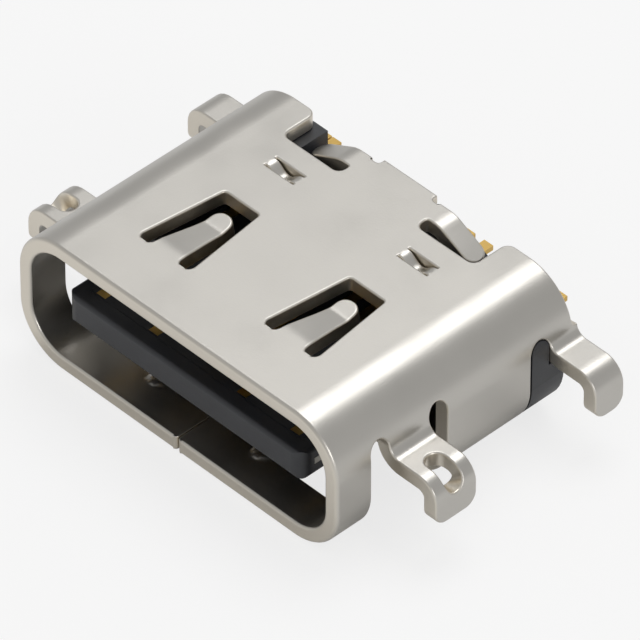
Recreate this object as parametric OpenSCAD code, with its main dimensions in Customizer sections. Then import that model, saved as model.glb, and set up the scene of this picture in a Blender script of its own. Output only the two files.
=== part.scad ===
// Board cut-out socket for a reversible data plug: one folded sheet shell round a moulded
// housing, whose tongue carries two rows of contacts with a steel plate between them.
// Lengths run back from the mouth (+Y), widths across it (X), heights from its mid height (+Z).

/* [Mouth and shell] */
// Width of the opening inside the shell
mouth_w = 8.34; // [7.5:0.01:10.1]
// Height of the opening inside the shell
mouth_h = 2.56; // [2.4:0.01:3.1]
// Corner radius of the opening
mouth_r = 0.86; // [0.7:0.01:1.05]
// Thickness of the shell's sheet
sheet_t = 0.35; // [0.28:0.01:0.42]
// Length of the shell, mouth to rear corners
shell_len = 6.44; // [5.9:0.01:8]
// Rounding of the mouth's outer edge
lip_r = 0.08; // [0.05:0.01:0.15]
// Gap at the seam where the sheet's ends meet under the mouth
seam_gap = 0.04; // [0.02:0.01:0.08]

/* [Top springs] */
// Distance of each spring from the middle
spring_x = 1.77; // [1.5:0.01:2]
// Mouth to the centres of the round front ends of the slots
spring_y = 1.51; // [1.3:0.01:1.8]
// Length of the cut-out behind those centres
spring_cut_len = 1.99; // [1.8:0.01:2.2]
// Width of the cut-out at its front
spring_cut_w = 1.48; // [1.3:0.01:1.7]
// Width of the cut-out at its rear edge
spring_cut_rear_w = 0.98; // [0.9:0.01:1.2]
// Width of the slots either side of a finger's root
spring_slot_w = 0.34; // [0.25:0.01:0.4]
// Length of a finger behind its root
finger_len = 1.64; // [1.2:0.01:1.7]
// Width of a finger half way along
finger_mid_w = 0.60; // [0.5:0.01:0.7]
// Width of a finger's rounded tip
finger_tip_w = 0.50; // [0.4:0.01:0.56]
// Angle at which a finger dips into the mouth
finger_dip = 8.5; // [5:0.5:16]
// Angle through which its tip turns back up
finger_flick = 19; // [10:1:25]

/* [Pressed stops] */
// Distance of each pressed stop from the middle
stop_x = 1.88; // [1.6:0.01:2.2]
// Length of a stop across the shell
stop_len = 0.80; // [0.75:0.01:1]
// Width of a stop
stop_w = 0.32; // [0.3:0.01:0.45]
// Depth to which it is pressed in
stop_depth = 0.20; // [0.1:0.01:0.25]
// Distance of the floor's round pips from the middle
pip_x = 1.48; // [1.2:0.01:1.7]
// Mouth to the pips' centres
pip_y = 0.95; // [0.8:0.01:1.1]
// Radius of a pip
pip_r = 0.27; // [0.2:0.01:0.35]
// Height of a pip above the floor
pip_h = 0.06; // [0.03:0.01:0.1]

/* [Rear edge] */
// Depth of the two notches in the rear edge of the top
notch_depth = 0.95; // [0.8:0.01:1]
// Middle to the notches' inner sides, half the neck of the T
neck_half_w = 1.10; // [0.9:0.01:1.2]
// Middle to the notches' outer sides
notch_outer_x = 2.69; // [2.6:0.01:2.8]
// Corner radius of the notches
notch_r = 0.17; // [0.1:0.01:0.25]
// Rounding of the rear corners outside the notches
rear_corner_r = 0.22; // [0.1:0.01:0.3]
// Width of the T's bent-down arms, front to rear
arm_w = 0.51; // [0.5:0.01:0.55]
// Corner radius of the arms' tips
arm_tip_r = 0.25; // [0.1:0.01:0.25]
// How far the arms stop short of the rear corners
arm_setback = 0.14; // [0.08:0.01:0.2]
// Half width of the tab between them
tab_half_w = 0.75; // [0.6:0.01:0.8]
// How far that tab stops short of the rear corners
tab_setback = 0.02; // [0.01:0.01:0.06]
// Radius of the reliefs between the tab and the arms
tab_relief_r = 0.10; // [0.06:0.01:0.12]
// Middle to the start of an arm's bend
arm_bend_x = 1.25; // [1.2:0.01:1.4]
// Angle of the arms below the top
arm_angle = 27; // [20:0.5:40]
// Straight length of an arm past its bend
arm_len = 1.05; // [0.8:0.01:1.1]

/* [Legs] */
// Width over the outer faces of the legs
leg_span = 11.62; // [11.3:0.01:14.2]
// Height of the board's top above the mouth's mid height
board_z = 0; // [-0.1:0.01:0.1]
// How far the legs reach below the board's top
leg_reach = 0.71; // [0.5:0.01:0.9]
// Width of the front legs
front_leg_w = 1.10; // [0.9:0.01:1.3]
// Mouth to the middle of the front legs
front_leg_y = 1.98; // [1.8:0.01:2.1]
// Width of the rear legs
rear_leg_w = 0.78; // [0.7:0.01:0.9]
// How far the rear legs reach behind the rear corners
rear_leg_over = 0.14; // [0.1:0.01:0.2]
// Width of the relief slots beside the front legs
relief_w = 0.48; // [0.4:0.01:0.5]
// Gap between the lower walls' rear edge and the rear legs
rear_relief_w = 0.50; // [0.4:0.01:0.55]
// Top of the front relief slots above the mouth's mid height
front_relief_z = 0.85; // [0.75:0.01:0.9]
// Top of the rear relief slots above the mouth's mid height
rear_relief_z = 0.72; // [0.7:0.01:0.85]
// Middle to the inner ends of the front openings in the floor
floor_cut_x = 2.25; // [2:0.01:2.6]
// Inner radius of the bend where a leg leaves the wall
root_bend_r = 0.25; // [0.15:0.01:0.3]
// Inner radius of the bend where a leg turns down
knee_r = 0.15; // [0.1:0.01:0.25]
// Corner radius of the legs' tips
leg_tip_r = 0.30; // [0.2:0.01:0.35]
// Width of the slot in the front legs
leg_slot_w = 0.46; // [0.3:0.01:0.55]
// How far the slot starts inside the outer face
leg_slot_in = 0.80; // [0.6:0.01:0.85]
// How far the slot runs down from the shelf's top
leg_slot_drop = 0.47; // [0.4:0.01:0.55]

/* [Housing] */
// Width of the tongue
tongue_w = 6.69; // [6.5:0.01:7]
// Thickness of the tongue
tongue_t = 0.70; // [0.58:0.01:0.84]
// Mouth to the tongue's front
tongue_y = 0.18; // [0.1:0.01:0.5]
// Rounding of the tongue's front corners in plan
tongue_corner = 0.30; // [0.2:0.01:0.4]
// Rounding of the tongue's long edges
tongue_edge = 0.10; // [0.05:0.01:0.15]
// Rear corners of the shell to the front of the full-height block
block_len = 1.49; // [1.3:0.01:1.55]
// Length of the raised step in front of that block
step_len = 0.45; // [0.3:0.01:0.6]
// Width of the raised step
step_w = 7.80; // [7.6:0.01:8]
// Height of the raised step
step_h = 1.70; // [1.4:0.01:1.9]
// How far the block reaches behind the shell's rear corners
block_over = 0.06; // [0.02:0.01:0.15]
// How far the lower part of the block stops short of the rear corners
skirt_setback = 0.24; // [0.2:0.01:0.4]
// Middle to the sides of the pockets for the T's arms
pocket_half_w = 2.45; // [2.4:0.01:2.6]
// Depth of the latch recesses in the tongue's sides
latch_depth = 0.20; // [0.1:0.01:0.25]
// Length of the latch recesses
latch_len = 0.90; // [0.6:0.01:1.1]
// Tongue's front to the latch recesses
latch_y = 1.40; // [1.2:0.01:1.8]
// Running clearance between the housing and the shell
shell_fit = 0.02; // [0.01:0.005:0.04]
// Clearance between the moulded parts and what they hold
mould_fit = 0.01; // [0.005:0.005:0.02]

/* [Plate and carriers] */
// Thickness of the plate inside the tongue
plate_t = 0.15; // [0.1:0.01:0.18]
// Tongue's front to the plate and the carriers
nose_len = 0.36; // [0.3:0.01:0.38]
// Width of the carriers in the tongue
carrier_w = 6.00; // [5.9:0.01:6.1]
// Width of the carriers in the block
carrier_rear_w = 7.10; // [7:0.01:7.2]
// Raised step's front to where the carriers widen
carrier_step = 0.15; // [0.1:0.01:0.2]
// How far the carriers stop short of the block's rear face
carrier_setback = 0.20; // [0.1:0.01:0.3]
// Rear corners of the shell to the plate's rear edge
plate_setback = 1.15; // [1.1:0.01:1.3]
// Radius of the pegs that join the carriers through the plate
peg_r = 0.22; // [0.15:0.01:0.3]
// Middle to the pegs
peg_x = 2.00; // [1.9:0.01:2.1]

/* [Contacts] */
// Thickness of the contacts
contact_t = 0.12; // [0.1:0.01:0.14]
// Width of a contact on the tongue
contact_w = 0.25; // [0.21:0.01:0.3]
// Centre distance of neighbouring contacts
contact_pitch = 0.50; // [0.45:0.01:0.55]
// Width of a signal tail
tail_w = 0.25; // [0.2:0.01:0.3]
// Width of each half of a paired power or ground tail
pair_tail_w = 0.24; // [0.2:0.01:0.28]
// Gap between the two halves of a paired tail
pair_gap = 0.03; // [0.02:0.01:0.06]
// Centre of a power tail pair from the middle
power_tail_x = 2.40; // [2.3:0.01:2.5]
// Centre of a ground tail pair from the middle
ground_tail_x = 3.20; // [3.1:0.01:3.3]
// Rear corners of the shell to the tails' ends
tail_reach = 0.92; // [0.8:0.01:1.3]
// Tongue's front to the front ends of the power and ground contacts
power_front = 0.40; // [0.39:0.01:0.6]
// Tongue's front to the front ends of the signal contacts
signal_front = 0.80; // [0.6:0.01:1.2]
// Rear corners of the shell to where the contacts start to spread
spread_setback = 1.80; // [1.75:0.01:1.9]
// Length over which they spread
spread_len = 0.90; // [0.8:0.01:0.95]
// Inner radius of the contacts' bends
contact_r = 0.10; // [0.08:0.01:0.12]

/* [Hidden] */
$fn = 48;
eps = 0.01;
far = 20;

outer_w = mouth_w + 2 * sheet_t;
outer_h = mouth_h + 2 * sheet_t;
outer_r = mouth_r + sheet_t;
corner_x = mouth_w / 2 - mouth_r;
corner_z = mouth_h / 2 - mouth_r;
top_z = outer_h / 2;
part_len = shell_len + tail_reach;

// A leg leaves the corner bend of the wall in a bend tangent to it, whose centre is here
root_z = board_z + sheet_t + root_bend_r;
root_reach = outer_r + root_bend_r;
root_angle = asin((root_z - corner_z) / root_reach);
root_x = corner_x + root_reach * cos(root_angle);
knee_x = leg_span / 2 - sheet_t - knee_r;
knee_drop = leg_reach - knee_r;
rear_leg_back = shell_len + rear_leg_over;
rear_leg_y = rear_leg_back - rear_leg_w / 2;
floor_len = rear_leg_back - rear_leg_w - rear_relief_w;

finger_w = spring_cut_w - 2 * spring_slot_w;
notch_y = shell_len - notch_depth;
arm_back = shell_len - arm_setback;
arm_tip_x = arm_bend_x + arm_len + (root_bend_r + sheet_t) * tan(arm_angle / 2);

block_y = shell_len - block_len;
block_back = shell_len + block_over;
skirt_back = shell_len - skirt_setback;
block_w = mouth_w - 2 * shell_fit;
block_h = mouth_h - 2 * shell_fit;
block_r = mouth_r - shell_fit;
stop_y = block_y - shell_fit - stop_w / 2;

core_y = tongue_y + nose_len;
carrier_back = block_back - carrier_setback;
carrier_wide_y = block_y - step_len + carrier_step;
plate_back = shell_len - plate_setback;
plate_rear_w = carrier_rear_w + 0.5;
peg_ys = [core_y + 0.9, block_y - step_len - 0.6];
peg_top = plate_t / 2 + 0.12;

spread_y = shell_len - spread_setback;
bend_y = spread_y + spread_len;
bend_turn = 45;
bend_mid_r = contact_r + contact_t / 2;
pair_x = (pair_tail_w + pair_gap) / 2;

// One contact each: name, row (1 upper, -1 lower), place in pitches, place of the tail, tail width, front end
function power(name, row, at, tail) = [name, row, at, tail, pair_tail_w, power_front];
function signal(name, row, at, tail) = [name, row, at, tail, tail_w, signal_front];
CONTACTS = [
    power("a1", 1, -5.5, -ground_tail_x - pair_x),
    power("a4", 1, -2.5, -power_tail_x - pair_x),
    signal("a5", 1, -1.5, -2.5 * contact_pitch),
    signal("a6", 1, -0.5, -0.5 * contact_pitch),
    signal("a7", 1, 0.5, 0.5 * contact_pitch),
    signal("a8", 1, 1.5, 2.5 * contact_pitch),
    power("a9", 1, 2.5, power_tail_x + pair_x),
    power("a12", 1, 5.5, ground_tail_x + pair_x),
    power("b12", -1, -5.5, -ground_tail_x + pair_x),
    power("b9", -1, -2.5, -power_tail_x + pair_x),
    signal("b8", -1, -1.5, -3.5 * contact_pitch),
    signal("b7", -1, -0.5, -1.5 * contact_pitch),
    signal("b6", -1, 0.5, 1.5 * contact_pitch),
    signal("b5", -1, 1.5, 3.5 * contact_pitch),
    power("b4", -1, 2.5, power_tail_x - pair_x),
    power("b1", -1, 5.5, ground_tail_x - pair_x)
];

// ---- Shapes shared by the parts ----

// The row frame: centred in X and Y, standing on the shell's floor
module placed() {
    translate([0, -part_len / 2, outer_h / 2]) children();
}

module both_sides() {
    children();
    mirror([1, 0, 0]) children();
}

// Outlines drawn in plan (XY), from the front (XZ) or from the side (YZ), given a thickness
module from_above(z0, z1) {
    translate([0, 0, z0]) linear_extrude(z1 - z0) children();
}
module from_front(y0, y1) {
    translate([0, y1, 0]) rotate([90, 0, 0]) linear_extrude(y1 - y0) children();
}
module from_side(x0, x1) {
    translate([x0, 0, 0]) rotate([90, 0, 90]) linear_extrude(x1 - x0) children();
}

// A rectangle with rounded corners, from its low corner
module soft_rect(size, r) {
    translate([r, 0]) square([size[0] - 2 * r, size[1]]);
    if (size[1] > 2 * r) translate([0, r]) square([size[0], size[1] - 2 * r]);
    for (x = [r, size[0] - r], y = [r, size[1] - r]) translate([x, y]) circle(r);
}
module soft_rect_centred(size, r) {
    translate(-size / 2) soft_rect(size, r);
}

// A slice of a disc from one angle to another, less than half a turn apart
module wedge(from, to) {
    mid = (from + to) / 2;
    edge = far / cos((to - from) / 2);
    polygon([[0, 0], far * [cos(from), sin(from)], edge * [cos(mid), sin(mid)], far * [cos(to), sin(to)]]);
}
module ring_slice(r, t, from, to) {
    intersection() {
        difference() {
            circle(r + t);
            circle(r);
        }
        wedge(from, to);
    }
}

// The edge of a folded strip: it starts at the origin and runs along +X with its upper face on y = 0.
// Each move is [straight length, turn in degrees, inner radius of the turn].
module folded(moves, t, at = 0) {
    if (at < len(moves)) {
        run = moves[at][0];
        turn = moves[at][1];
        r = moves[at][2];
        up = sign(turn);
        pivot = up > 0 ? r : -t - r;
        if (run > 0) translate([0, -t]) square([run, t]);
        translate([run, pivot]) {
            if (up > 0) ring_slice(r, t, -90, turn - 90);
            if (up < 0) ring_slice(r, t, 90 + turn, 90);
            rotate(turn) translate([0, -pivot]) folded(moves, t, at + 1);
        }
    }
}

// ---- Shell ----

// Section through the wall at the mouth: inner face on x = 0, mouth on y = 0
module wall_section() {
    difference() {
        square([sheet_t, shell_len]);
        translate([sheet_t - lip_r, 0]) difference() {
            translate([0, -eps]) square([lip_r + eps, lip_r + eps]);
            translate([0, lip_r]) circle(lip_r);
        }
    }
}

module tube() {
    rotate([-90, 0, 0]) for (a = [0, 180]) rotate(a) {
        for (sx = [0, 1]) mirror([sx, 0, 0]) translate([corner_x, corner_z, 0])
            rotate_extrude(angle = 90) translate([mouth_r, 0]) wall_section();
        translate([mouth_w / 2, 0, 0]) rotate([90, 0, 0])
            linear_extrude(2 * corner_z, center = true) wall_section();
        translate([0, mouth_h / 2, 0]) rotate([90, 0, 90])
            linear_extrude(2 * corner_x, center = true) wall_section();
    }
}

// Points round an arc
function arc(centre, r, from, to, steps = 8) =
    [for (i = [0:steps]) centre + r * [cos(from + (to - from) * i / steps), sin(from + (to - from) * i / steps)]];

// A finger seen from above, its root on y = 0
module finger_plan() {
    polygon(concat(
        [[-finger_w / 2, -spring_slot_w], [-finger_w / 2, 0], [-finger_mid_w / 2, finger_len / 2]],
        arc([0, finger_len - finger_tip_w / 2], finger_tip_w / 2, 180, 0),
        [[finger_mid_w / 2, finger_len / 2], [finger_w / 2, 0], [finger_w / 2, -spring_slot_w]]
    ));
}

// The opening round a finger: a slot with a round end on each side of its root, and room behind its tip
module spring_cut_plan() {
    slot_x = (spring_cut_w - spring_slot_w) / 2;
    polygon(concat(
        arc([-slot_x, 0], spring_slot_w / 2, 0, -180),
        [[-spring_cut_rear_w / 2, spring_cut_len], [spring_cut_rear_w / 2, spring_cut_len]],
        arc([slot_x, 0], spring_slot_w / 2, 0, -180)
    ));
}

// Each finger dips below the top from its root and turns up again at its tip
module finger() {
    dip_len = finger_len * 0.58;
    intersection() {
        from_above(-far, far) finger_plan();
        translate([0, -spring_slot_w, 0]) from_side(-finger_w / 2, finger_w / 2)
            folded([
                [spring_slot_w, -finger_dip, 3 * sheet_t],
                [dip_len, finger_flick, sheet_t],
                [finger_len, 0, 0]
            ], sheet_t);
    }
}

// A strip slit along both long edges and pressed in, still joined at its ends
module pressed_stop() {
    slope = 45;
    reach = stop_depth - 2 * bend_rise(sheet_t / 4, slope);
    from_front(-stop_w / 2 + shell_fit, stop_w / 2 - shell_fit) both_sides()
        translate([-stop_len / 2 - sheet_t / 4, 0]) folded([
            [sheet_t / 4, -slope, sheet_t / 4],
            [reach / sin(slope), slope, sheet_t / 4],
            [stop_len / 4, 0, 0]
        ], sheet_t);
}
function bend_rise(r, turn) = (r + sheet_t / 2) * (1 - cos(turn));

// The notch on the right of the T, with the T's arm bent down into it
module notch_plan() {
    translate([neck_half_w, notch_y])
        soft_rect([notch_outer_x - neck_half_w, far], notch_r);
    translate([notch_outer_x, shell_len]) difference() {
        translate([-eps, -rear_corner_r]) square([rear_corner_r + eps, 1]);
        translate([rear_corner_r, -rear_corner_r]) circle(rear_corner_r);
    }
}

// What is cut behind the neck: the arms stop short of the tab, with a round relief between them
module tab_plan() {
    dip = tab_relief_r / 2;
    polygon(concat(
        [[tab_half_w, far]],
        arc([tab_half_w + tab_relief_r, arm_back + tab_relief_r - dip], tab_relief_r, 180, 330),
        [[arm_bend_x, arm_back], [arm_bend_x, far]]
    ));
}
module arm() {
    intersection() {
        from_front(arm_back - arm_w, arm_back) translate([neck_half_w - eps, top_z])
            folded([
                [arm_bend_x - neck_half_w + eps, -arm_angle, root_bend_r],
                [arm_len, 0, 0]
            ], sheet_t);
        // The tip's corners are rounded off across the slope
        translate([arm_bend_x, 0, top_z]) rotate([0, arm_angle, 0]) translate([-arm_bend_x, 0, 0])
            from_above(-far, far) translate([-far, arm_back - arm_w])
                soft_rect([far + arm_tip_x, arm_w], arm_tip_r);
    }
}

// What is cut from the side wall for a leg: relief slots with round tops, and the wall below the leg's root
module leg_cut(y, w, top, gap) {
    for (s = [-1, 1]) translate([0, y + s * (w + gap) / 2, 0]) from_side(corner_x, far) {
        translate([0, top - gap / 2]) circle(gap / 2);
        translate([-gap / 2, -far]) square([gap, far + top - gap / 2]);
    }
    from_front(y - w / 2 - eps, y + w / 2 + eps) translate([corner_x, corner_z])
        wedge(-90, root_angle);
}

// A leg: out of the wall's corner bend, along the board as a shelf, and down past its edge
module leg(y, w) {
    intersection() {
        from_front(y - w / 2, y + w / 2) {
            translate([root_x, root_z]) ring_slice(root_bend_r, sheet_t, 180 + root_angle, 270);
            translate([root_x, board_z + sheet_t])
                folded([[knee_x - root_x, -90, knee_r], [knee_drop, 0, 0]], sheet_t);
        }
        translate([0, y - w / 2, board_z - leg_reach]) from_side(0, far) soft_rect([w, far], leg_tip_r);
    }
}

// The front leg's slot runs along the shelf and over its knee
module leg_slot() {
    slot_r = leg_slot_w / 2;
    low = board_z + sheet_t - leg_slot_drop + slot_r;
    translate([0, front_leg_y, 0]) {
        from_above(low, far) translate([leg_span / 2 - leg_slot_in, -slot_r])
            soft_rect([far, leg_slot_w], slot_r);
        from_above(-far, far) intersection() {
            translate([leg_span / 2 - leg_slot_in, -slot_r]) soft_rect([far, leg_slot_w], slot_r);
            translate([0, -far / 2]) square([knee_x, far]);
        }
        from_side(knee_x, far) translate([0, low]) circle(slot_r);
    }
}

// The wall's rear edge runs out to the rear leg, which is wider, in a round corner above the leg's root
module rear_leg_flare() {
    flare_z = corner_z + outer_r * sin(root_angle);
    intersection() {
        from_front(shell_len - eps, rear_leg_back) translate([corner_x, corner_z])
            ring_slice(mouth_r, sheet_t, root_angle, 40);
        from_side(0, far) difference() {
            translate([shell_len - eps, 0]) square([rear_leg_over + eps, flare_z + rear_leg_over]);
            translate([rear_leg_back, flare_z + rear_leg_over]) circle(rear_leg_over);
        }
    }
}

module shell_tube_cut() {
    from_above(top_z - 2 * sheet_t, far) both_sides() {
        translate([spring_x, spring_y]) spring_cut_plan();
        translate([stop_x, stop_y]) soft_rect_centred([stop_len, stop_w], stop_w / 6);
        notch_plan();
        tab_plan();
    }
    both_sides() {
        leg_cut(front_leg_y, front_leg_w, front_relief_z, relief_w);
        leg_cut(rear_leg_y, rear_leg_w, rear_relief_z, rear_relief_w);
        from_above(-far, corner_z - mouth_r) translate([floor_cut_x, front_leg_y - front_leg_w / 2 - relief_w])
            soft_rect([corner_x, front_leg_w + 2 * relief_w], relief_w / 2);
        from_above(-far, -top_z + pip_h) translate([pip_x, pip_y]) circle(pip_r - eps);
    }
    // Behind the floor and at the seam
    from_above(-far, -corner_z) translate([-corner_x - eps, floor_len])
        square([2 * corner_x + 2 * eps, far]);
    from_above(-far, -corner_z) translate([-seam_gap / 2, -eps]) square([seam_gap, far]);
    // The tab between the arms stops short of the rear corners
    from_above(top_z - 2 * sheet_t, far) translate([-arm_bend_x, shell_len - tab_setback])
        square([2 * arm_bend_x, far]);
}

module shell() color([0.74, 0.73, 0.71]) placed() {
    difference() {
        tube();
        shell_tube_cut();
    }
    both_sides() {
        translate([spring_x, spring_y, top_z]) finger();
        translate([stop_x, stop_y, top_z]) pressed_stop();
        from_above(-mouth_h / 2 - sheet_t / 2, -mouth_h / 2 + pip_h) translate([pip_x, pip_y])
            circle(pip_r);
        arm();
        difference() {
            leg(front_leg_y, front_leg_w);
            leg_slot();
        }
        leg(rear_leg_y, rear_leg_w);
        rear_leg_flare();
    }
}

// ---- Contacts ----

// Straight part between two bends of the given turn that together change the height
function bend_run(height) =
    (height - 2 * bend_mid_r * (1 - cos(bend_turn))) / sin(bend_turn);
function bend_len(height) =
    2 * bend_mid_r * sin(bend_turn) + bend_run(height) * cos(bend_turn);

// A contact with its faces moved out by grow: flat in the tongue, spread to its tail, and bent to the board
module contact_form(c, grow = 0) {
    t = contact_t + 2 * grow;
    half = contact_w / 2 + grow;
    tail_half = c[4] / 2 + grow;
    x = c[2] * contact_pitch;
    face = tongue_t / 2 + grow;
    height = c[1] > 0 ? tongue_t / 2 - contact_t - board_z : tongue_t / 2 + board_z;
    r = contact_r - grow;
    front_y = tongue_y + c[5] - grow;
    mirror([0, 0, c[1] > 0 ? 0 : 1]) {
        from_above(face - t, face) polygon([
            [x - half, front_y], [x + half, front_y], [x + half, spread_y],
            [c[3] + tail_half, bend_y - contact_w], [c[3] + tail_half, bend_y],
            [c[3] - tail_half, bend_y], [c[3] - tail_half, bend_y - contact_w],
            [x - half, spread_y]
        ]);
        translate([0, bend_y, face]) from_side(c[3] - tail_half, c[3] + tail_half) folded([
            [0, -bend_turn, r],
            [bend_run(height), bend_turn, r],
            [part_len - bend_y - bend_len(height) + grow, 0, 0]
        ], t);
    }
}

module contact(c) color([0.83, 0.68, 0.38]) placed() contact_form(c);

// ---- Mid plate and carriers ----

// The plate seen from above, its edges moved out by grow
module plate_plan(grow = 0) {
    half = tongue_w / 2 + grow;
    rear_half = plate_rear_w / 2 + grow;
    difference() {
        union() {
            translate([-half, core_y - grow]) square([2 * half, plate_back - core_y + 2 * grow]);
            translate([-rear_half, block_y + mould_fit - grow])
                square([2 * rear_half, plate_back - block_y - mould_fit + 2 * grow]);
        }
        if (grow == 0) both_sides() latch_plan();
    }
}
module latch_plan() {
    translate([tongue_w / 2 - latch_depth, tongue_y + latch_y])
        soft_rect([1, latch_len], latch_depth / 2);
}

module pegs(r, z0, z1) {
    from_above(z0, z1) both_sides() for (y = peg_ys) translate([peg_x, y]) circle(r);
}

module mid_plate() color([0.66, 0.65, 0.63]) placed() difference() {
    from_above(-plate_t / 2, plate_t / 2) plate_plan();
    pegs(peg_r + mould_fit, -far, far);
}

// Both carriers seen from above: narrow in the tongue, wide in the block
module carrier_plan(grow = 0) {
    translate([-carrier_w / 2 - grow, core_y - grow])
        square([carrier_w + 2 * grow, carrier_back - core_y + 2 * grow]);
    translate([-carrier_rear_w / 2 - grow, carrier_wide_y - grow])
        square([carrier_rear_w + 2 * grow, carrier_back - carrier_wide_y + 2 * grow]);
}

// A carrier lies on one face of the plate, and behind the plate it meets the other carrier
module carrier_body(row) {
    mirror([0, 0, row > 0 ? 0 : 1]) intersection() {
        from_above(mould_fit / 2, tongue_t / 2) carrier_plan();
        from_side(-far, far) {
            translate([0, plate_t / 2 + mould_fit]) square([far, tongue_t]);
            translate([plate_back + mould_fit, 0]) square([far, tongue_t]);
        }
    }
}

module upper_carrier() color([0.13, 0.13, 0.14]) placed() difference() {
    carrier_body(1);
    for (c = CONTACTS) contact_form(c, mould_fit);
    pegs(peg_r + mould_fit, -far, peg_top + mould_fit);
}
module lower_carrier() color([0.13, 0.13, 0.14]) placed() {
    difference() {
        carrier_body(-1);
        for (c = CONTACTS) contact_form(c, mould_fit);
    }
    pegs(peg_r, -plate_t / 2 - 2 * mould_fit, peg_top);
}

// ---- Housing ----

// The tongue: rounded in plan at its front corners, and along its long edges
module tongue() {
    intersection() {
        from_above(-far, far) translate([-tongue_w / 2, tongue_y])
            soft_rect([tongue_w, far], tongue_corner);
        from_front(0, block_y + eps) soft_rect_centred([tongue_w, tongue_t], tongue_edge);
        from_side(-far, far) translate([tongue_y, -tongue_t / 2])
            soft_rect([far, tongue_t], tongue_edge);
    }
}

module outline(w, h, r, y0, y1) {
    from_front(y0, y1) soft_rect_centred([w, h], r);
}

// The full block inside the shell, and the skirt that comes flush with the shell's outside behind its floor
module block() {
    skirt_y = floor_len + shell_fit;
    window_back = rear_leg_y - rear_leg_w / 2 - shell_fit;
    window_r = rear_relief_w / 2 - shell_fit;
    outline(block_w, block_h, block_r, block_y, block_back);
    intersection() {
        outline(outer_w, outer_h, outer_r, skirt_y, skirt_back);
        union() {
            from_side(-far, far) translate([skirt_y, -far]) square([far, far + board_z - shell_fit]);
            from_side(-far, far) {
                translate([skirt_y, -far])
                    square([window_back - skirt_y, far + rear_relief_z - rear_relief_w / 2]);
                translate([skirt_y + window_r, rear_relief_z - rear_relief_w / 2]) circle(window_r);
            }
        }
    }
}

// Pockets under the T's arms, their floors sloping with them
module arm_pocket() {
    under = sheet_t + shell_fit;
    floor_x = arm_tip_x;
    floor_z = top_z - under - (floor_x - arm_bend_x) * tan(arm_angle);
    from_front(notch_y + notch_r, far) polygon([
        [neck_half_w, top_z], [neck_half_w, top_z - under],
        [arm_bend_x, top_z - under],
        [floor_x - sheet_t * sin(arm_angle), floor_z + sheet_t * sin(arm_angle) * tan(arm_angle)],
        [pocket_half_w, floor_z + sheet_t * sin(arm_angle) * tan(arm_angle)],
        [pocket_half_w, top_z]
    ]);
}

module housing() color([0.2, 0.21, 0.24]) placed() difference() {
    union() {
        tongue();
        outline(step_w, step_h, tongue_corner, block_y - step_len, block_y + eps);
        block();
    }
    both_sides() {
        arm_pocket();
        from_above(-step_h, step_h) latch_plan();
    }
    // What the carriers, the plate and the tails pass through
    from_above(-tongue_t / 2 - mould_fit, tongue_t / 2 + mould_fit) carrier_plan(mould_fit);
    from_above(-plate_t / 2 - mould_fit, plate_t / 2 + mould_fit) plate_plan(mould_fit);
    from_above(-tongue_t / 2 - mould_fit, tongue_t / 2 + mould_fit)
        translate([-carrier_rear_w / 2 - mould_fit, carrier_back - eps])
            square([carrier_rear_w + 2 * mould_fit, far]);
    // Below the board's top the block stops short, in line with the skirt
    from_above(-far, board_z - shell_fit) translate([-far, skirt_back]) square([2 * far, far]);
}

shell();
housing();
upper_carrier();
lower_carrier();
mid_plate();
for (c = CONTACTS)
    contact(c);
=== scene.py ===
import math

import bpy
import numpy as np
from mathutils import Matrix, Vector
from mathutils.geometry import delaunay_2d_cdt


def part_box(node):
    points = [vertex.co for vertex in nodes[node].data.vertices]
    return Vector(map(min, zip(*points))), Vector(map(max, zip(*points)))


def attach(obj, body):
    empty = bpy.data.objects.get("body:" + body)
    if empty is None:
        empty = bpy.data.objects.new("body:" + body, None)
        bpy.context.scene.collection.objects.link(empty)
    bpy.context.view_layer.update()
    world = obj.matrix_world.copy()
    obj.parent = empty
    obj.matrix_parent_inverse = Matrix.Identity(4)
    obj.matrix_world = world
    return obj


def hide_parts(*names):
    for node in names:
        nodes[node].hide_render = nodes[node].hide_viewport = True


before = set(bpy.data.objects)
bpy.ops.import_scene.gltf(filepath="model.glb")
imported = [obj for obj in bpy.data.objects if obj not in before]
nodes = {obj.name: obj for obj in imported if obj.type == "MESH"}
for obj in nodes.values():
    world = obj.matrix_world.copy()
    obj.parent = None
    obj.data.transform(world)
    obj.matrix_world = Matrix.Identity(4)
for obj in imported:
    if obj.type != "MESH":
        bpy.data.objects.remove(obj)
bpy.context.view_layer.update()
print("frame loaded:", len(nodes), "nodes")

mm = 0.001
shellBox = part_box("shell")
# lengths below are in mm from the mouth's middle: x across, y back from the mouth, z up
lowX, lowY, lowZ = shellBox[0]
highX, highY, highZ = shellBox[1]
mouthCentre = Vector(((lowX + highX) / 2, lowY, (lowZ + highZ) / 2)) / mm


tiny = 0.001  # a step short enough to take a slope from, in mm


def toRow(points):  # from the mouth's frame in mm to the frame's metres
    return (np.asarray(points) + np.array(mouthCentre)) * mm


def toLinear(code):  # sRGB hex to linear rgba
    parts = [int(code[i:i + 2], 16) / 255 for i in (1, 3, 5)]
    return [c / 12.92 if c <= 0.04045 else ((c + 0.055) / 1.055) ** 2.4 for c in parts] + [1.0]


def newMaterial(name):
    material = bpy.data.materials.new(name)
    material.use_nodes = True
    material.node_tree.nodes.clear()
    return material


def addNode(material, kind, inputs=None, **settings):
    node = material.node_tree.nodes.new("ShaderNode" + kind)
    for key, value in settings.items():
        setattr(node, key, value)
    for key, value in (inputs or {}).items():
        if isinstance(value, bpy.types.NodeSocket):
            material.node_tree.links.new(value, node.inputs[key])
        else:
            node.inputs[key].default_value = value
    return node


def output(material, shader):
    addNode(material, "OutputMaterial", {"Surface": shader.outputs[0]})
    return material


nickel = {
    "face": "#c9c6c0",
    # painted highlight: the warmer, brighter colour mixed in on the rolled and sheared edges
    "edge": "#e6dfd2",
    "roughness": 0.34,
    "roughSpread": (-0.05, 0.07),
    "grainMm": 0.05,
    "cloudMm": 1.6,
    "bumpMm": 0.0015,
}


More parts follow.
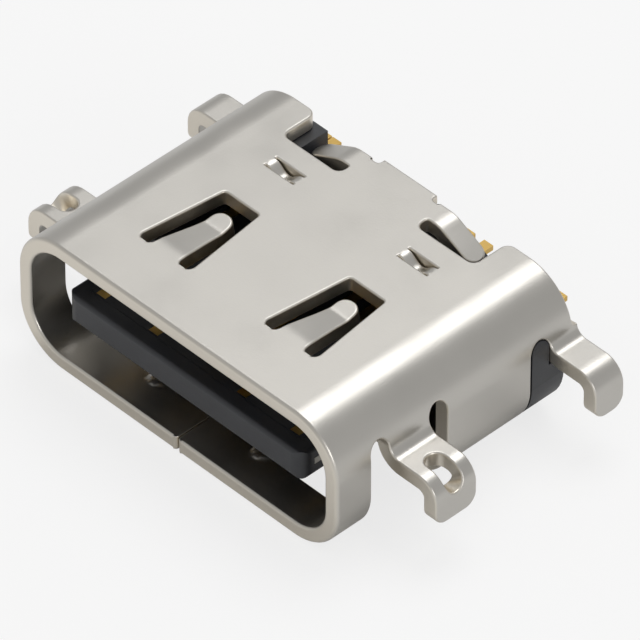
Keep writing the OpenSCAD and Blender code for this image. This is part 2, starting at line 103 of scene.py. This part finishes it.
def nickelPlate():
    # satin nickel on stamped sheet: fine orange peel, with a painted highlight that makes the rolled and
    # sheared edges warmer and brighter
    material = newMaterial("nickel plate, stamped sheet")
    where = addNode(material, "TexCoord")
    place = where.outputs["Object"]
    # how much painted edge highlight each point gets, set by the shell's rim rows
    edge = addNode(material, "Attribute", attribute_name="paintedEdgeHighlight").outputs["Fac"]
    grain = addNode(material, "TexNoise", {"Vector": place, "Scale": 1 / (nickel["grainMm"] * mm),
                                           "Detail": 3.0, "Roughness": 0.6})
    cloud = addNode(material, "TexNoise", {"Vector": place, "Scale": 1 / (nickel["cloudMm"] * mm),
                                           "Detail": 4.0})
    colour = addNode(material, "Mix", {"Factor": edge, "A": toLinear(nickel["face"]),
                                       "B": toLinear(nickel["edge"])}, data_type="RGBA")
    smoother, rougher = (nickel["roughness"] + spread for spread in nickel["roughSpread"])
    rough = addNode(material, "MapRange", {"Value": cloud.outputs["Fac"], "From Min": 0.3, "From Max": 0.7,
                                           "To Min": smoother, "To Max": rougher})
    bump = addNode(material, "Bump", {"Height": grain.outputs["Fac"], "Distance": nickel["bumpMm"] * mm,
                                      "Strength": 1.0})
    shader = addNode(material, "BsdfPrincipled", {
        "Base Color": colour.outputs["Result"], "Metallic": 1.0,
        "Roughness": rough.outputs["Result"], "Normal": bump.outputs["Normal"]})
    return output(material, shader)


lcp = {
    "deep": "#1c1d20",
    "pale": "#2b2d33",
    "roughness": 0.42,
    "ior": 1.6,
    "flowMm": 0.5,
    "grainMm": 0.06,
    "bumpMm": 0.0015,
}


def lcpMoulding():
    # glass-filled liquid crystal polymer, injection moulded: near black, slightly blue, faint flow marks
    material = newMaterial("LCP, injection moulded")
    place = addNode(material, "TexCoord").outputs["Object"]
    flow = addNode(material, "TexNoise", {"Vector": place, "Scale": 1 / (lcp["flowMm"] * mm),
                                          "Detail": 5.0})
    grain = addNode(material, "TexNoise", {"Vector": place, "Scale": 1 / (lcp["grainMm"] * mm),
                                           "Detail": 2.0})
    colour = addNode(material, "Mix", {"Factor": flow.outputs["Fac"], "A": toLinear(lcp["deep"]),
                                       "B": toLinear(lcp["pale"])}, data_type="RGBA")
    bump = addNode(material, "Bump", {"Height": grain.outputs["Fac"], "Distance": lcp["bumpMm"] * mm})
    shader = addNode(material, "BsdfPrincipled", {
        "Base Color": colour.outputs["Result"], "Roughness": lcp["roughness"], "IOR": lcp["ior"],
        "Normal": bump.outputs["Normal"]})
    return output(material, shader)


gold = {"colour": "#d9b56a", "roughness": 0.28, "grainMm": 0.03, "bumpMm": 0.001}


def fineMetal(name, finish):
    # a plain metal with a fine grain: a noise of the grain's size raised by the bump's height
    material = newMaterial(name)
    place = addNode(material, "TexCoord").outputs["Object"]
    grain = addNode(material, "TexNoise", {"Vector": place, "Scale": 1 / (finish["grainMm"] * mm),
                                           "Detail": 2.0})
    bump = addNode(material, "Bump", {"Height": grain.outputs["Fac"], "Distance": finish["bumpMm"] * mm})
    shader = addNode(material, "BsdfPrincipled", {
        "Base Color": toLinear(finish["colour"]), "Metallic": 1.0, "Roughness": finish["roughness"],
        "Normal": bump.outputs["Normal"]})
    return output(material, shader)


def goldPlate():
    # hard gold flash over nickel on a drawn copper-alloy strip: warm, smooth and a little dull
    return fineMetal("gold plate, stamped contact", gold)


steel = {"colour": "#b5b2ab", "roughness": 0.4, "grainMm": 0.04, "bumpMm": 0.001}


def plateSteel():
    # plain stainless strip as it comes from the press: grey and satin
    return fineMetal("stainless steel, stamped plate", steel)


nickelLook = nickelPlate()
lcpLook = lcpMoulding()
goldLook = goldPlate()
steelLook = plateSteel()
# by the first word of a node's name; the rest are moulded
looks = {"shell": nickelLook, "mid": steelLook, "contact": goldLook}
for name, node in nodes.items():
    node.data.materials.clear()
    node.data.materials.append(looks.get(name.split("_")[0], lcpLook))
print("materials made")


shell = {
    "mouthWidth": 8.34, "mouthHeight": 2.56, "mouthRadius": 0.86, "sheet": 0.35, "length": 6.44,
    "seamGap": 0.04,
    "rollOver": 0.045, "burr": 0.02, "lipOuter": 0.09, "lipInner": 0.07,
    "springX": 1.77, "springY": 1.51, "springCutEnd": 3.50, "springCutWidth": 1.48, "springCutRear": 0.98,
    "springSlot": 0.34, "fingerLength": 1.66, "fingerMid": 0.60, "fingerTip": 0.50,
    "fingerDip": 8.5, "fingerFlick": 19.0, "fingerRamp": 0.95,
    "stopX": 1.88, "stopY": 4.77, "stopLength": 0.80, "stopWidth": 0.32, "stopDepth": 0.20, "slit": 0.02,
    "pipX": 1.48, "pipY": 0.95, "pipRadius": 0.27, "pipHeight": 0.06,
    "notchDepth": 0.95, "neckHalf": 1.10, "notchOuter": 2.69, "notchRadius": 0.17, "rearCorner": 0.22,
    "armWidth": 0.51, "armTip": 0.25, "armSetback": 0.14, "armBendX": 1.25, "armAngle": 27.0,
    "armStraight": 0.92, "tabHalf": 0.75, "tabSetback": 0.02, "tabRelief": 0.10,
    "legSpan": 11.62, "legReach": 0.71, "frontLegY": 1.98, "frontLegWidth": 1.10, "rearLegWidth": 0.78,
    "rearLegOver": 0.14, "relief": 0.48, "rearRelief": 0.50, "frontReliefTop": 0.85, "rearReliefTop": 0.72,
    "floorCutX": 2.25, "rootBend": 0.25, "kneeBend": 0.15, "legTip": 0.30,
    "legSlotWidth": 0.46, "legSlotIn": 0.80, "legSlotDrop": 0.47,
    "step": 0.08,
}


def alongFold(travel, moves):
    # where a strip is after travelling along straights and bends in turn, and its heading there:
    # each move is (length, turn in radians), the last one goes on for ever
    place = np.zeros(travel.shape + (2,))
    heading = np.zeros(travel.shape)
    done, aim = 0.0, 0.0
    for i, (length, turn) in enumerate(moves):
        part = travel - done
        part = part if i == len(moves) - 1 else np.minimum(part, length)
        part = np.maximum(part, 0.0) if i else part
        if turn:
            angle = aim + turn * part / length
            radius = length / turn
            place[..., 0] += radius * (np.sin(angle) - math.sin(aim))
            place[..., 1] += radius * (math.cos(aim) - np.cos(angle))
            heading += turn * part / length
        else:
            place[..., 0] += part * math.cos(aim)
            place[..., 1] += part * math.sin(aim)
        done += length
        aim += turn
    return place, heading


def shellPlan():
    # sizes worked out from the dictionary; a bend takes its angle times its middle radius of the sheet
    s = dict(shell)
    t = s["sheet"]
    s["cornerX"] = s["mouthWidth"] / 2 - s["mouthRadius"]
    s["cornerZ"] = s["mouthHeight"] / 2 - s["mouthRadius"]
    s["midRadius"] = s["mouthRadius"] + t / 2
    s["cornerArc"] = s["midRadius"] * math.pi / 2
    s["wallEnd"] = s["cornerX"] + s["cornerArc"] + 2 * s["cornerZ"]
    s["seamU"] = s["wallEnd"] + s["cornerArc"] + s["cornerX"] - s["seamGap"] / 2
    rootZ = t + s["rootBend"]
    reach = s["mouthRadius"] + t + s["rootBend"]
    s["rootAngle"] = math.asin((rootZ - s["cornerZ"]) / reach)
    s["rootX"] = s["cornerX"] + reach * math.cos(s["rootAngle"])
    s["rootTurn"] = math.pi / 2 - s["rootAngle"]
    s["rootU"] = s["cornerX"] + s["midRadius"] * s["rootTurn"]
    s["rootArc"] = (s["rootBend"] + t / 2) * s["rootTurn"]
    s["kneeX"] = s["legSpan"] / 2 - t - s["kneeBend"]
    s["kneeArc"] = (s["kneeBend"] + t / 2) * math.pi / 2
    s["shelfU"] = s["rootU"] + s["rootArc"]
    s["kneeU"] = s["shelfU"] + s["kneeX"] - s["rootX"]
    s["legEndU"] = s["kneeU"] + s["kneeArc"] + s["legReach"] - s["kneeBend"]
    bend = s["rootBend"] + t / 2
    dip, flick = math.radians(s["fingerDip"]), math.radians(s["fingerFlick"])
    arm = math.radians(s["armAngle"])
    quarter = math.pi / 2
    s["tubeMoves"] = [(s["cornerX"], 0), (s["cornerArc"], -quarter), (2 * s["cornerZ"], 0),
                      (s["cornerArc"], -quarter), (s["cornerX"], 0)]
    s["legMoves"] = [(s["cornerX"], 0), (s["rootU"] - s["cornerX"], -s["rootTurn"]),
                     (s["rootArc"], s["rootTurn"]), (s["kneeX"] - s["rootX"], 0),
                     (s["kneeArc"], -quarter), (s["legReach"], 0)]
    s["armMoves"] = [(s["armBendX"], 0), (bend * arm, -arm), (s["armStraight"], 0)]
    s["armEndU"] = s["armBendX"] + bend * arm + s["armStraight"]
    s["fingerMoves"] = [(s["springY"], 0), (3.5 * t * dip, -dip), (s["fingerRamp"], 0),
                        (1.5 * t * flick, flick), (1, 0)]
    s["rearLegBack"] = s["length"] + s["rearLegOver"]
    s["rearLegFront"] = s["rearLegBack"] - s["rearLegWidth"]
    s["floorEnd"] = s["rearLegFront"] - s["rearRelief"]
    s["armBack"] = s["length"] - s["armSetback"]
    return s


plan = shellPlan()


def uAtHeight(z):  # how far round the sheet its outer face reaches height z on the upper corner
    lean = math.asin((z - plan["cornerZ"]) / (plan["mouthRadius"] + plan["sheet"]))
    return plan["cornerX"] + plan["midRadius"] * (math.pi / 2 - lean)


def uOnFloor(x):  # how far round the sheet a point of the floor lies, x from the middle
    return plan["wallEnd"] + plan["cornerArc"] + plan["cornerX"] - x


def rounded(corners, closed=True, step=0.05):
    # an outline through corners (u, y, radius), each rounded by an arc that touches both sides
    points = []
    count = len(corners)
    for i, (u, y, radius) in enumerate(corners):
        here = np.array([u, y])
        if not closed and i in (0, count - 1):
            points.append(here)
            continue
        before = np.array(corners[i - 1][:2]) - here
        after = np.array(corners[(i + 1) % count][:2]) - here
        before, after = before / np.linalg.norm(before), after / np.linalg.norm(after)
        half = math.acos(np.clip(before @ after, -1, 1)) / 2
        if radius < 1e-4 or half > 1.56:
            points.append(here)
            continue
        middle = here + (before + after) / np.linalg.norm(before + after) * radius / math.sin(half)
        start = here + before * radius / math.tan(half) - middle
        sweep = math.pi - 2 * half
        side = np.sign(start[1] * before[0] - start[0] * before[1])
        parts = max(3, int(math.ceil(sweep * radius / step)), int(math.ceil(sweep / 0.3)))
        turn = side * np.linspace(0, sweep, parts + 1)
        arc = np.stack([start[0] * np.cos(turn) - start[1] * np.sin(turn),
                        start[0] * np.sin(turn) + start[1] * np.cos(turn)], 1)
        points.extend(middle + arc)
    points = np.array(points)
    keep = [0]
    for i in range(1, len(points)):
        if np.linalg.norm(points[i] - points[keep[-1]]) > 1e-4:
            keep.append(i)
    points = points[keep]
    if closed and np.linalg.norm(points[0] - points[-1]) < 1e-4:
        points = points[:-1]
    return points


def divided(points, closed, step):
    # the same outline with its long straights cut into steps
    parts = []
    count = len(points)
    for i in range(count if closed else count - 1):
        a, b = points[i], points[(i + 1) % count]
        n = max(1, int(round(np.linalg.norm(b - a) / step)))
        parts.append(a + (b - a) * (np.arange(n) / n)[:, None])
    if not closed:
        parts.append(points[-1:])
    return np.concatenate(parts)


def blankOutlines():
    # the flat blank's edges, u round the sheet from the middle of its top and y back from the mouth
    s = plan
    gap, rearGap = s["relief"] / 2, s["rearRelief"] / 2
    relief = s["tabRelief"]
    front, back = s["frontLegY"] - s["frontLegWidth"] / 2, s["frontLegY"] + s["frontLegWidth"] / 2
    rearTop, frontTop = uAtHeight(s["rearReliefTop"]), uAtHeight(s["frontReliefTop"])
    tip = s["legTip"]
    notchY = s["length"] - s["notchDepth"]
    armFront = s["armBack"] - s["armWidth"]
    right = rounded([
        (0, 0, 0), (s["seamU"], 0, 0.10), (s["seamU"], s["floorEnd"], 0.05),
        (rearTop, s["floorEnd"], rearGap), (rearTop, s["rearLegFront"], rearGap),
        (s["legEndU"], s["rearLegFront"], tip), (s["legEndU"], s["rearLegBack"], tip),
        (s["rootU"], s["rearLegBack"], 0.02), (s["rootU"], s["length"], 0.115),
        (s["notchOuter"], s["length"], s["rearCorner"]), (s["notchOuter"], notchY, s["notchRadius"]),
        (s["neckHalf"], notchY, s["notchRadius"]), (s["neckHalf"], armFront, 0.06),
        (s["armEndU"], armFront, s["armTip"]), (s["armEndU"], s["armBack"], s["armTip"]),
        (s["tabHalf"] + 2 * relief, s["armBack"], 0.04),
        (s["tabHalf"] + 1.9 * relief, s["armBack"] - relief / 2, 0.04),
        (s["tabHalf"], s["armBack"] - relief / 2, 0.08),
        (s["tabHalf"], s["length"] - s["tabSetback"], 0.03),
        (0, s["length"] - s["tabSetback"], 0)], closed=False)
    left = right[::-1] * [-1, 1]
    outer = divided(np.concatenate([right, left[1:-1]]), True, s["step"])
    frontTip = s["legEndU"]
    floorU = uOnFloor(s["floorCutX"])
    slotStart = s["shelfU"] + s["legSpan"] / 2 - s["legSlotIn"] - s["rootX"]
    slotEnd = s["kneeU"] + s["kneeArc"] + s["legSlotDrop"] - s["sheet"] - s["kneeBend"]
    slotHalf = s["legSlotWidth"] / 2
    x, half, rear = s["springX"], s["springCutWidth"] / 2, s["springCutRear"] / 2
    slot = s["springSlot"]
    low = s["springY"] - slot / 2
    root, mid, end = half - slot, s["fingerMid"] / 2, s["fingerTip"] / 2
    midY, tipY = s["springY"] + s["fingerLength"] / 2, s["springY"] + s["fingerLength"]
    holes = [
        [(frontTop, front - 2 * gap, gap), (frontTop, front, gap),
         (frontTip, front, tip), (frontTip, back, tip),
         (frontTop, back, gap), (frontTop, back + 2 * gap, gap), (floorU, back + 2 * gap, gap),
         (floorU, front - 2 * gap, gap)],
        [(slotStart, s["frontLegY"] - slotHalf, slotHalf), (slotEnd, s["frontLegY"] - slotHalf, slotHalf),
         (slotEnd, s["frontLegY"] + slotHalf, slotHalf), (slotStart, s["frontLegY"] + slotHalf, slotHalf)],
        [(x - half, low, slot / 2), (x - root, low, slot / 2), (x - mid, midY, 1.0),
         (x - end, tipY, end * 0.98), (x + end, tipY, end * 0.98), (x + mid, midY, 1.0),
         (x + root, low, slot / 2), (x + half, low, slot / 2),
         (x + rear, s["springCutEnd"], 0.08), (x - rear, s["springCutEnd"], 0.08)],
    ]
    for side in (-1, 1):
        y = s["stopY"] + side * (s["stopWidth"] / 2 - s["slit"] / 2)
        a, b = s["stopX"] - s["stopLength"] / 2, s["stopX"] + s["stopLength"] / 2
        holes.append([(a, y - s["slit"] / 2, 0.005), (b, y - s["slit"] / 2, 0.005),
                      (b, y + s["slit"] / 2, 0.005), (a, y + s["slit"] / 2, 0.005)])
    loops = [outer]
    for hole in holes:
        points = divided(rounded(hole), True, s["step"])
        loops += [points, points[::-1] * [-1, 1]]
    return loops


def zoneOf(points):
    # which strip a point of the blank belongs to: 0 the tube, 1 a leg, 2 an arm of the T, 3 a finger
    s = plan
    u, y = np.abs(points[:, 0]), points[:, 1]
    zone = np.zeros(len(points), int)
    frontLeg = (u < s["legEndU"] + 0.05) & (np.abs(y - s["frontLegY"]) < s["frontLegWidth"] / 2 + 0.03)
    rearLeg = y > s["rearLegFront"] - 0.03
    zone[(u > s["rootU"]) & (frontLeg | rearLeg)] = 1
    zone[(u > s["armBendX"]) & (u < s["armEndU"] + 0.1) & (y > s["length"] - s["notchDepth"] + 0.1)] = 2
    across = np.abs(u - s["springX"])
    zone[(y > s["springY"]) & (y < s["springY"] + s["fingerLength"] + 0.05)
         & (across < s["springCutWidth"] / 2 - s["springSlot"] / 2 - 0.05)] = 3
    return zone


def pressed(u, y):
    # how far the sheet is pressed in: a trough between the slits of each stop, a dome at each pip
    s = plan
    across = np.clip(np.abs(u - s["stopX"]) / (s["stopLength"] / 2), 0, 1)
    inStop = np.abs(y - s["stopY"]) < s["stopWidth"] / 2 - s["slit"] / 2
    trough = s["stopDepth"] * (0.5 + 0.5 * np.cos(math.pi * across)) * inStop
    away = np.hypot(u - uOnFloor(s["pipX"]), y - s["pipY"]) / s["pipRadius"]
    dome = s["pipHeight"] * (0.5 + 0.5 * np.cos(math.pi * np.clip((away - 0.55) / 0.45, 0, 1)))
    return trough + dome


def formed(points, depth, zone):
    # the folded sheet's place for a point of the blank, depth below its outer face
    s = plan
    side = np.where(points[:, 0] < 0, -1.0, 1.0)
    u, y = np.abs(points[:, 0]), points[:, 1]
    place = np.zeros((len(u), 3))
    normal = np.zeros((len(u), 3))
    for kind, moves in ((0, s["tubeMoves"]), (1, s["legMoves"]), (2, s["armMoves"])):
        pick = zone == kind
        flat, heading = alongFold(u[pick], moves)
        place[pick] = np.stack([flat[:, 0], y[pick], flat[:, 1]], 1)
        normal[pick] = np.stack([-np.sin(heading), 0 * heading, np.cos(heading)], 1)
    pick = zone == 3
    flat, heading = alongFold(y[pick], s["fingerMoves"])
    place[pick] = np.stack([u[pick], flat[:, 0], flat[:, 1]], 1)
    normal[pick] = np.stack([0 * heading, -np.sin(heading), np.cos(heading)], 1)
    place[:, 2] += s["mouthHeight"] / 2 + s["sheet"] / 2
    place += normal * (s["sheet"] / 2 - depth - pressed(u, y))[:, None]
    place[:, 0] *= side
    return place


def unit(vectors):
    # each vector over its length
    return vectors / np.maximum(np.linalg.norm(vectors, axis=-1, keepdims=True), 1e-12)


def faceNormals(points, depth, zone):
    # outward normals of the formed sheet, from how it moves with a small step each way on the blank
    du = formed(points + [tiny, 0], depth, zone) - formed(points - [tiny, 0], depth, zone)
    dy = formed(points + [0, tiny], depth, zone) - formed(points - [0, tiny], depth, zone)
    return unit(np.cross(du, dy))


def outwardOffsets(loop):
    # the way out of the material at each outline point, lengthened at corners so that sides stay parallel
    ahead = unit(np.roll(loop, -1, 0) - loop)
    behind = unit(loop - np.roll(loop, 1, 0))
    out = unit(np.stack([ahead[:, 1] + behind[:, 1], -ahead[:, 0] - behind[:, 0]], 1))
    stretch = 1 / np.maximum(out[:, 0] * ahead[:, 1] - out[:, 1] * ahead[:, 0], 0.5)
    return out * stretch[:, None]


def signedArea(loop):
    # half the sum of the cross products of neighbouring points
    return 0.5 * np.sum(loop[:, 0] * np.roll(loop[:, 1], -1) - np.roll(loop[:, 0], -1) * loop[:, 1])


def inside(points, loops):
    # even-odd rule: how many outline edges a ray from each point crosses
    hit = np.zeros(len(points), bool)
    for loop in loops:
        nextLoop = np.roll(loop, -1, 0)
        for a, b in zip(loop, nextLoop):
            spans = (a[1] > points[:, 1]) != (b[1] > points[:, 1])
            if not spans.any():
                continue
            crossing = a[0] + (points[spans, 1] - a[1]) * (b[0] - a[0]) / (b[1] - a[1])
            hit[np.nonzero(spans)[0][points[spans, 0] < crossing]] ^= True
    return hit


def buildShell():
    # the blank's outlines and the grid between them, triangulated flat and then folded for both faces
    s = plan
    t = s["sheet"]
    loops = blankOutlines()
    # the outer outline runs anticlockwise and the holes clockwise, so material is always on the left
    for i, loop in enumerate(loops):
        if (signedArea(loop) > 0) != (i == 0):
            loops[i] = loop[::-1]
    outs = [outwardOffsets(loop) for loop in loops]
    atMouth = [loop[:, 1] < 1e-3 for loop in loops]
    rollOver = [np.where(m, s["lipOuter"], s["rollOver"]) for m in atMouth]
    burr = [np.where(m, s["lipInner"], s["burr"]) for m in atMouth]
    insetBy = [np.maximum(a, b) for a, b in zip(rollOver, burr)]
    inset = [loop - out * r[:, None] for loop, out, r in zip(loops, outs, insetBy)]
    # grid points well inside the inset outlines
    allInset = np.concatenate(inset)
    uMax, yMax = allInset[:, 0].max(), allInset[:, 1].max()
    gridU, gridY = np.meshgrid(np.arange(-uMax, uMax, s["step"]), np.arange(0, yMax, s["step"]))
    grid = np.stack([gridU.ravel(), gridY.ravel()], 1)
    grid = grid[inside(grid, inset)]
    near = np.zeros(len(grid), bool)
    for start in range(0, len(allInset), 200):
        gap = np.linalg.norm(grid[:, None, :] - allInset[None, start:start + 200, :], axis=2)
        near |= (gap < s["step"] * 0.6).any(1)
    grid = grid[~near]
    edges = []
    at = 0
    for loop in inset:
        n = len(loop)
        edges += [(at + i, at + (i + 1) % n) for i in range(n)]
        at += n
    flat = np.concatenate([allInset, grid])
    result = delaunay_2d_cdt([Vector(p) for p in flat.tolist()], edges, [], 0, 1e-6)
    flatOut = np.array([tuple(v) for v in result[0]])
    triangles = np.array(result[2])
    triangles = triangles[inside(flatOut[triangles].mean(1), inset)]
    print("blank:", len(flat), "points in,", len(flatOut), "out,", len(triangles), "triangles")
    # both faces of the sheet
    zone = zoneOf(flatOut)
    count = len(flatOut)
    top, low = np.zeros(count), np.full(count, t)
    places = [formed(flatOut, top, zone), formed(flatOut, low, zone)]
    up = faceNormals(flatOut, top, zone)
    down = -faceNormals(flatOut, low, zone)
    normals = [up, down]
    # the two faces get no painted edge highlight
    edgeHighlightAmounts = [np.zeros(count), np.zeros(count)]
    faces = [triangles, triangles[:, ::-1] + count]
    # the cut edge all round each outline: rolled over on top, sheared straight, a small burr below
    origin = {}
    for new, old in enumerate(result[3]):
        for o in old:
            origin[o] = new
    at, total = 0, 2 * count
    turns = np.linspace(0, math.pi / 2, 5)
    for loop, out, r1, r2, base in zip(loops, outs, rollOver, burr, insetBy):
        n = len(loop)
        own = np.array([origin[at + i] for i in range(n)])
        at += n
        loopZone = zone[own]
        ring = []
        rows = [(-r1 + r1 * math.sin(a), r1 * (1 - math.cos(a)), a, 0) for a in turns]
        rows += [(0 * r1, 0.55 * t + 0 * r1, math.pi / 2, 1)]
        rows += [(-r2 + r2 * math.sin(a), t - r2 * (1 - math.cos(a)), math.pi - a, 0) for a in turns[::-1]]
        for k, (push, depth, lean, isCut) in enumerate(rows):
            where = loop + out * np.broadcast_to(push, (n,))[:, None]
            depth = np.broadcast_to(depth, (n,)).astype(float)
            place = formed(where, depth, loopZone)
            face = faceNormals(where, depth, loopZone)
            outward = unit(formed(where + out * tiny, depth, loopZone)
                           - formed(where - out * tiny, depth, loopZone))
            normal = unit(face * math.cos(lean) + outward * math.sin(lean))
            places.append(place)
            normals.append(normal)
            # painted highlight: a rim row gets more of the brighter edge colour the more it leans out, most
            # on the sheared face
            highlightAmount = min(1.0, math.sin(lean) ** 2)
            edgeHighlightAmounts.append(np.full(n, highlightAmount))
            ring.append(total + np.arange(n))
            total += n
        ring = [own] + ring + [own + count]
        for a, b in zip(ring[:-1], ring[1:]):
            a2, b2 = np.roll(a, -1), np.roll(b, -1)
            faces.append(np.stack([a, b, a2], 1))
            faces.append(np.stack([b, b2, a2], 1))
    places = np.concatenate(places)
    normals = np.concatenate(normals)
    edgeHighlightAmounts = np.concatenate(edgeHighlightAmounts)
    faces = np.concatenate(faces)
    return places, normals, edgeHighlightAmounts, faces


# a smooth-shaded piece with its place in its mesh
def meshFrom(name, places, faces, material, normals=None):
    mesh = bpy.data.meshes.new(name)
    mesh.from_pydata(toRow(places).tolist(), [], faces.tolist())
    mesh.materials.append(material)
    mesh.polygons.foreach_set("use_smooth", [True] * len(mesh.polygons))
    if normals is not None:
        mesh.normals_split_custom_set_from_vertices(normals.tolist())
    piece = bpy.data.objects.new(name, mesh)
    bpy.context.scene.collection.objects.link(piece)
    return piece


def addShell():
    places, normals, edgeHighlightAmounts, faces = buildShell()
    piece = meshFrom("folded_shell", places, faces, nickelLook, normals)
    # the painted edge highlight's amount per point, read by the nickel material
    attribute = piece.data.attributes.new("paintedEdgeHighlight", "FLOAT", "POINT")
    attribute.data.foreach_set("value", edgeHighlightAmounts.astype(np.float32))
    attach(piece, "root")
    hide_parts("shell")
    print("shell:", len(faces), "triangles")


addShell()


stage = {
    "floor": "#f4f4f4", "floorSize": 1.2, "floorGlow": 0.75, "floorDrop": 0.00001,
    "worldStrength": 0.5, "backdropStrength": 1.0,
}
white = [1, 1, 1, 1]


def addStage():
    # a pale floor that glows for the camera alone, under an even white sky that lights the part more softly
    bpy.ops.mesh.primitive_plane_add(size=stage["floorSize"])
    floor = bpy.context.object
    floor.name = "pale_floor"
    floor.location = (0, 0, -stage["floorDrop"])
    material = newMaterial("pale floor")
    path = addNode(material, "LightPath")
    diffuse = addNode(material, "BsdfDiffuse", {"Color": toLinear(stage["floor"])})
    glow = addNode(material, "Emission", {"Color": white, "Strength": 1.0})
    seen = addNode(material, "Math", {0: path.outputs["Is Camera Ray"], 1: stage["floorGlow"]},
                   operation="MULTIPLY")
    mix = addNode(material, "MixShader", {0: seen.outputs[0], 1: diffuse.outputs[0], 2: glow.outputs[0]})
    floor.data.materials.append(output(material, mix))
    world = bpy.data.worlds.new("studio")
    bpy.context.scene.world = world
    world.use_nodes = True
    world.node_tree.nodes.clear()
    path = addNode(world, "LightPath")
    sky = addNode(world, "Background", {"Color": white, "Strength": stage["worldStrength"]})
    backdrop = addNode(world, "Background", {"Color": white, "Strength": stage["backdropStrength"]})
    mix = addNode(world, "MixShader", {0: path.outputs["Is Camera Ray"], 1: sky.outputs[0],
                                       2: backdrop.outputs[0]})
    addNode(world, "OutputWorld", {"Surface": mix.outputs[0]})


lamps = {  # place and target in metres, size in metres, power in watts
    "target": (0, 0, 0.0015),
    "top softbox": {"place": (-0.05, 0.10, 0.25), "size": (0.16, 0.16), "power": 0.22},
    "right softbox": {"place": (0.25, -0.05, 0.10), "size": (0.12, 0.12), "power": 0.12},
}


def addLamp(name):
    # an area lamp turned to face the part
    own = lamps[name]
    light = bpy.data.lights.new(name, "AREA")
    light.shape = "RECTANGLE"
    light.size, light.size_y = own["size"]
    light.energy = own["power"]
    lamp = bpy.data.objects.new(name, light)
    lamp.location = own["place"]
    aim = Vector(lamps["target"]) - Vector(own["place"])
    lamp.rotation_euler = aim.to_track_quat("-Z", "Y").to_euler()
    bpy.context.scene.collection.objects.link(lamp)


view = {"azimuth": 46.0, "elevation": 42.06, "distanceMm": 206.2, "lens": 588.8, "shiftMm": (-0.299, 0.252),
        "targetMm": (0, 3.5, 0)}


def addCamera():
    # the camera stands off the target by its distance, along the direction that azimuth and elevation give
    az, el = math.radians(view["azimuth"]), math.radians(view["elevation"])
    right = Vector((math.cos(az), math.sin(az), 0))
    back = Vector((math.sin(az) * math.cos(el), -math.cos(az) * math.cos(el), math.sin(el)))
    up = back.cross(right)
    place = (Vector(view["targetMm"]) - right * view["shiftMm"][0] - up * view["shiftMm"][1]
             + back * view["distanceMm"])
    camera = bpy.data.cameras.new("camera")
    camera.lens = view["lens"]
    camera.sensor_width = 36
    camera.clip_start = 0.01
    camera.clip_end = 5
    seat = bpy.data.objects.new("camera", camera)
    turn = Matrix((right, up, back)).transposed().to_4x4()
    seat.matrix_world = Matrix.Translation((place + mouthCentre) * mm) @ turn
    bpy.context.scene.collection.objects.link(seat)
    bpy.context.scene.camera = seat


addStage()
addLamp("top softbox")
addLamp("right softbox")
addCamera()
bpy.context.scene.view_settings.view_transform = "Standard"
print("stage, lights and camera set")
